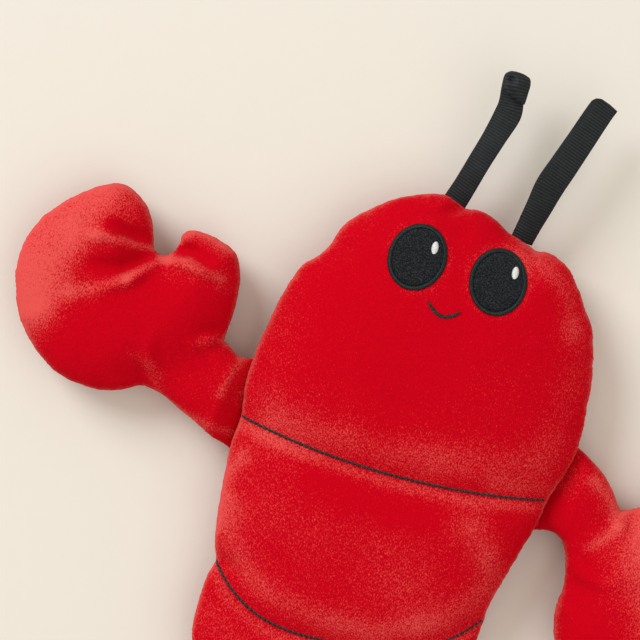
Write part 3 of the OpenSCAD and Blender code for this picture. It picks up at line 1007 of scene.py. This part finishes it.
def ribbon(name, path, end_drop, dents):
    """A grosgrain ribbon along a path of (x, y, z, half width, cup, tilt in degrees).

    The cup is how far its middle stands over its edges. The end drop is how far short of the path's end the
    ribbon stops, from its left edge (-1) to its right one (1).
    """
    rows = even(through(path, steps=12), RIBBON_STEP)
    s = lengths(rows[:, :3])
    across = np.linspace(-1, 1, 15)
    short = np.interp(across, *np.array(end_drop, float).T)
    tangents = np.gradient(rows[:, :3], axis=0)
    tangents /= np.linalg.norm(tangents, axis=1)[:, None]
    flat = [1, 0, 0] - tangents[:, :1] * tangents
    flat /= np.linalg.norm(flat, axis=1)[:, None]
    points, faces, rib_highlights = [], [], []
    for face_side in (1, -1):
        for i, where in enumerate(s):
            for w, drop in zip(across, short):
                at = where * (1 - drop / s[-1])
                p = np.array([np.interp(at, s, rows[:, axis]) for axis in range(6)])
                t = np.array([np.interp(at, s, tangents[:, axis]) for axis in range(3)])
                f = np.array([np.interp(at, s, flat[:, axis]) for axis in range(3)])
                n = np.cross(f, t)
                tilt = math.radians(p[5])
                weft = f * math.cos(tilt) + n * math.sin(tilt)
                up = np.cross(weft, t)
                crest = math.cos(2 * math.pi * at / RIB_PITCH) * (1 if abs(w) < 0.93 else 0.2)
                rib = 0.28 * crest
                # A painted highlight on the rib crests: weak at the root, full from 60% of the ribbon's
                # length on
                rib_highlights.append((0.5 + 0.5 * crest) * (0.35 + 0.65 * min(1, at / (0.6 * s[-1]))))
                lift = p[4] * (1 - w * w) + face_side * (RIBBON_HALF_THICK + rib)
                points.append(p[:3] + weft * w * p[3] + up * lift)
    n_across, n_along = len(across), len(s)
    half = n_across * n_along
    for i in range(n_along - 1):
        for k in range(n_across - 1):
            a = i * n_across + k
            quad = (a, a + 1, a + 1 + n_across, a + n_across)
            faces.append(quad)
            faces.append(tuple(half + q for q in reversed(quad)))
    rim = list(range(n_across))
    rim += [i * n_across + n_across - 1 for i in range(1, n_along)]
    rim += [(n_along - 1) * n_across + k for k in reversed(range(n_across - 1))]
    rim += [i * n_across for i in reversed(range(1, n_along - 1))]
    for a, b in zip(rim, rim[1:] + rim[:1]):
        faces.append((b, a, half + a, half + b))
    points = np.array(points)
    turned_over = np.clip((points[:, 2] - 34.5) / 1.5, 0, 1)
    for centre, radius, depth in dents:
        gap = np.linalg.norm(points[:, :2] - centre, axis=1)
        points[:, 2] -= depth * turned_over * np.exp(-((gap / radius) ** 2))
    obj = new_object(name + "_grosgrain", points, faces, grosgrain)
    obj.data.attributes.new("rib", "FLOAT", "POINT").data.foreach_set("value", rib_highlights)
    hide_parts(name + "_ribbon")
    return obj, s[-1]


LEFT_RIBBON = [
    (-15.6, 76.5, 22.5, 7.2, 1.5, 15), (-12.0, 91, 27, 7.0, 1.4, 22), (-8.6, 107, 30.5, 7.0, 1.2, 24),
    (-4.8, 123.5, 32.5, 7.2, 1.0, 20), (-1.8, 138, 33, 7.8, 0.8, 8), (-2.0, 145.5, 32.5, 7.2, 0.8, 0),
    (-2.8, 152.5, 32, 7.4, 0.3, 0), (-3.2, 158.6, 32, 7.6, 0, 0), (-3.2, 160.9, 33.0, 6.6, -0.4, 0),
    (-3.2, 161.8, 35, 5.2, -0.6, 0), (-3.0, 160.6, 37.0, 6.8, -1.6, 0), (-2.7, 157.5, 38.2, 7.7, -2.4, 0),
    (-2.2, 152.5, 38.4, 7.6, -2.6, 0), (-1.4, 148, 37.2, 7.0, -2.2, 0), (-0.4, 143.8, 35.2, 6.0, -1.0, 0),
]
RIGHT_RIBBON = [
    (29.6, 72.5, 23.5, 6.6, 2.8, 0), (31.0, 83, 26, 7.0, 2.4, 0), (32.7, 94, 28.5, 7.7, 1.8, 0),
    (34.6, 107, 31, 8.5, 0.9, 0), (38.3, 120.5, 32.5, 8.4, 0.6, 0), (43, 137.5, 33, 8.1, 0.5, 0),
    (47.8, 155, 32, 7.9, 0.4, 0), (50.6, 163.2, 31, 7.7, 0.4, 0),
]
# Where the left ribbon's turned-over end is pressed in, or below 0 pushed out: place, radius and depth
LEFT_RIBBON_DENTS = [
    ((-6.2, 157.6), 1.8, 3.2), ((-1.2, 155.5), 2.6, -0.9), ((-5.0, 151.6), 1.3, 1.5),
    ((-2.7, 149.6), 1.4, 1.7), ((-0.4, 147.2), 1.6, 1.9), ((2.0, 144.6), 1.8, 1.5),
    ((4.6, 152.9), 1.6, 1.6),
]
RIBBONS = [
    ("antenna_left", LEFT_RIBBON, [(-1, 9.5), (0, 5.5), (1, 1.5)], LEFT_RIBBON_DENTS),
    ("antenna_right", RIGHT_RIBBON, [(-1, 4.5), (-0.85, 2.0), (-0.5, 0.3), (0.3, 0), (1, 0.6)], []),
]

for name, path, end_drop, dents in RIBBONS:
    obj, length = ribbon(name, path, end_drop, dents)
    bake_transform(obj)

# ---- Floor, light and camera ----


def stage_floor():
    """The surface that the toy lies on."""
    corners = [(-3000, -3000, 0), (3000, -3000, 0), (3000, 3000, 0), (-3000, 3000, 0)]
    new_object("floor", corners, [(0, 1, 2, 3)], floor_material())


def area_light(name, at, size, power, colour):
    """A round soft light that faces the toy."""
    light = bpy.data.lights.new(name, "AREA")
    light.shape = "DISK"
    light.size = size
    light.energy = power
    light.color = colour
    obj = bpy.data.objects.new(name, light)
    bpy.context.scene.collection.objects.link(obj)
    obj.location = at
    obj.rotation_euler = (-Vector(at)).to_track_quat("-Z", "Y").to_euler()


def add_sky(colour, strength):
    """Even light from all round."""
    world = bpy.data.worlds.new("studio")
    world.use_nodes = True
    background = world.node_tree.nodes["Background"]
    background.inputs["Color"].default_value = (*colour, 1)
    background.inputs["Strength"].default_value = strength
    bpy.context.scene.world = world


# The camera looks straight down, turned so that the body leans over to the right
CAMERA_TURN = math.radians(18.6)
CAMERA_AIM = (-66.5, -8.4)
CAMERA_HEIGHT = 1.5
VIEW_WIDTH = 0.371
SENSOR = 36.0


def add_camera():
    """A camera whose view is VIEW_WIDTH wide at the side seams' height."""
    data = bpy.data.cameras.new("camera")
    data.sensor_width = SENSOR
    seam_level = table(SEAM_HEIGHT, 0) * MM
    data.lens = SENSOR * (CAMERA_HEIGHT - seam_level) / VIEW_WIDTH
    camera = bpy.data.objects.new("camera", data)
    camera.location = (CAMERA_AIM[0] * MM, CAMERA_AIM[1] * MM, CAMERA_HEIGHT)
    camera.rotation_euler = (0, 0, CAMERA_TURN)
    bpy.context.scene.collection.objects.link(camera)
    bpy.context.scene.camera = camera


stage_floor()
area_light("key", (-2.9, 1.5, 2.4), 2.2, 115, (0.985, 0.99, 1.0))
area_light("fill", (0.9, -0.4, 1.6), 2.0, 8.7, (1.0, 0.97, 0.94))
add_sky((1.04, 0.97, 0.846), 0.71)
bpy.context.scene.view_settings.view_transform = "Standard"
add_camera()
